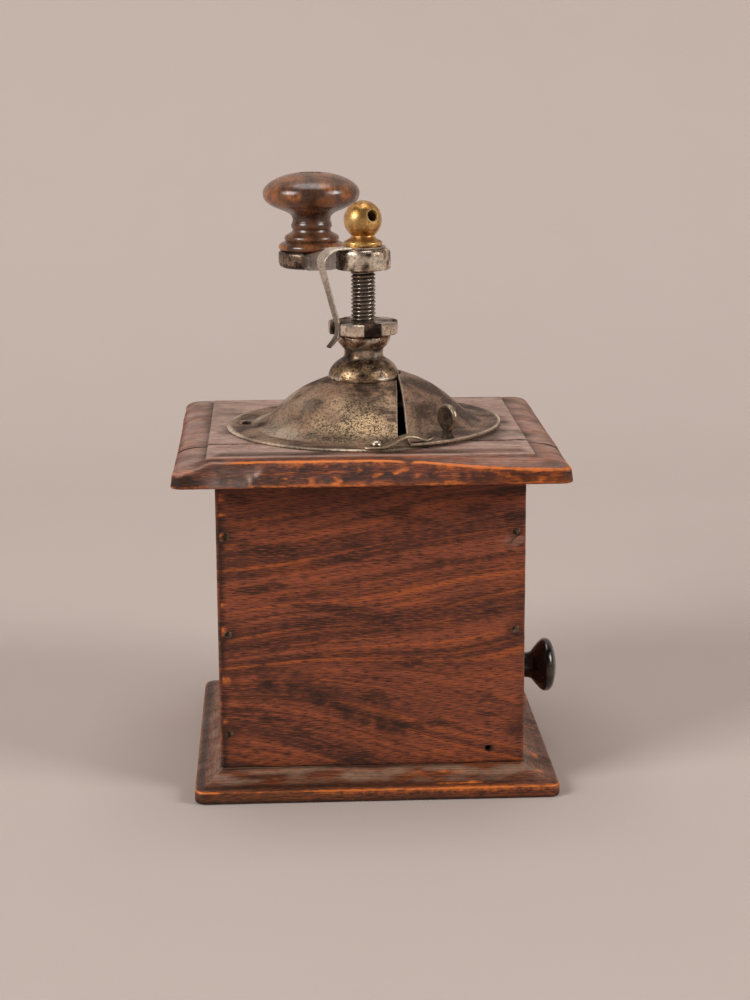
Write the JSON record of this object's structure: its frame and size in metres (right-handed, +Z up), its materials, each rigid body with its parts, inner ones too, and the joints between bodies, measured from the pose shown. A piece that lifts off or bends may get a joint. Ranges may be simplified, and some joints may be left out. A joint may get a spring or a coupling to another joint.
{
  "type": "hand crank coffee grinder",
  "caption": "Wooden box coffee mill with a domed steel hopper and sliding dome door, spindle with notched adjusting nut, crank with turned knob, and a drawer for the grounds.",
  "frame": {"origin": "centre of the spindle's axis on the underside of the base board", "axes": "+X towards the drawer, -Y towards the plain front panel, +Z up along the spindle"},
  "size_m": [0.1253, 0.183, 0.1845],
  "materials": {
    "stained_wood": "stained red-brown, worn satin",
    "worn_board": "worn and greyed, satin",
    "raw_wood": "unfinished",
    "turned_knob": "handled, glossy",
    "black_knob": "black lacquer, glossy",
    "sheet_steel": "brown patina, pitted",
    "turned_steel": "worn, patchy",
    "spring_steel": "dull grey",
    "forged_iron": "worn forged skin",
    "cast_burr": "dark cast",
    "nail_iron": "dark, rubbed bright on the heads",
    "old_brass": "rubbed, tarnished in the hollows"
  },
  "bodies": {
    "box": {"base_board": "stained_wood", "front_panel": "stained_wood", "back_panel": "stained_wood", "left_panel": "stained_wood", "drawer_rail": "stained_wood", "top_board": "worn_board", "corner_nails": "nail_iron", "base_nails": "nail_iron", "hopper_dome": "sheet_steel", "hopper_nails": "nail_iron", "door_clip": "sheet_steel", "clip_nail": "nail_iron", "door_keeper": "sheet_steel", "keeper_nail": "nail_iron", "bearing_collar": "turned_steel", "collar_washer": "turned_steel", "outer_burr": "cast_burr", "burr_screws": "nail_iron", "bridge": "forged_iron"},
    "crank": {"spindle": "turned_steel", "inner_burr": "cast_burr", "burr_pin": "nail_iron", "pawl_spring": "spring_steel", "crank_arm": "forged_iron", "ball_nut": "old_brass", "knob_pin": "turned_steel"},
    "nut": {"adjusting_nut": "turned_steel"},
    "knob": {"crank_knob": "turned_knob"},
    "door": {"dome_door": "sheet_steel", "door_lug": "sheet_steel"},
    "drawer": {"drawer_front": "stained_wood", "drawer_side_near": "raw_wood", "drawer_side_far": "raw_wood", "drawer_back": "raw_wood", "drawer_bottom": "raw_wood", "drawer_nails": "nail_iron", "drawer_knob": "black_knob", "drawer_knob_screw": "nail_iron"}
  },
  "joints": [
    {"name": "crank_turn", "type": "hinge", "parent": "box", "child": "crank", "pos_m": [0, 0, 0.16], "axis": [0, 0, 1], "continuous": true},
    {"name": "knob_spin", "type": "hinge", "parent": "crank", "child": "knob", "pos_m": [-0.01461, 0.10398, 0.17], "axis": [0, 0, 1], "continuous": true},
    {"name": "nut_turn", "type": "hinge", "parent": "crank", "child": "nut", "pos_m": [0, 0, 0.142], "axis": [0, 0, 1], "range_deg": [-144, 144], "deforming": ["pawl_spring"]},
    {"name": "door_swing", "type": "hinge", "parent": "box", "child": "door", "pos_m": [0, 0, 0.11], "axis": [0, 0, 1], "range_deg": [-5, 90]},
    {"name": "drawer_slide", "type": "slide", "parent": "box", "child": "drawer", "axis": [1, 0, 0], "range_m": [0, 0.07]}
  ]
}
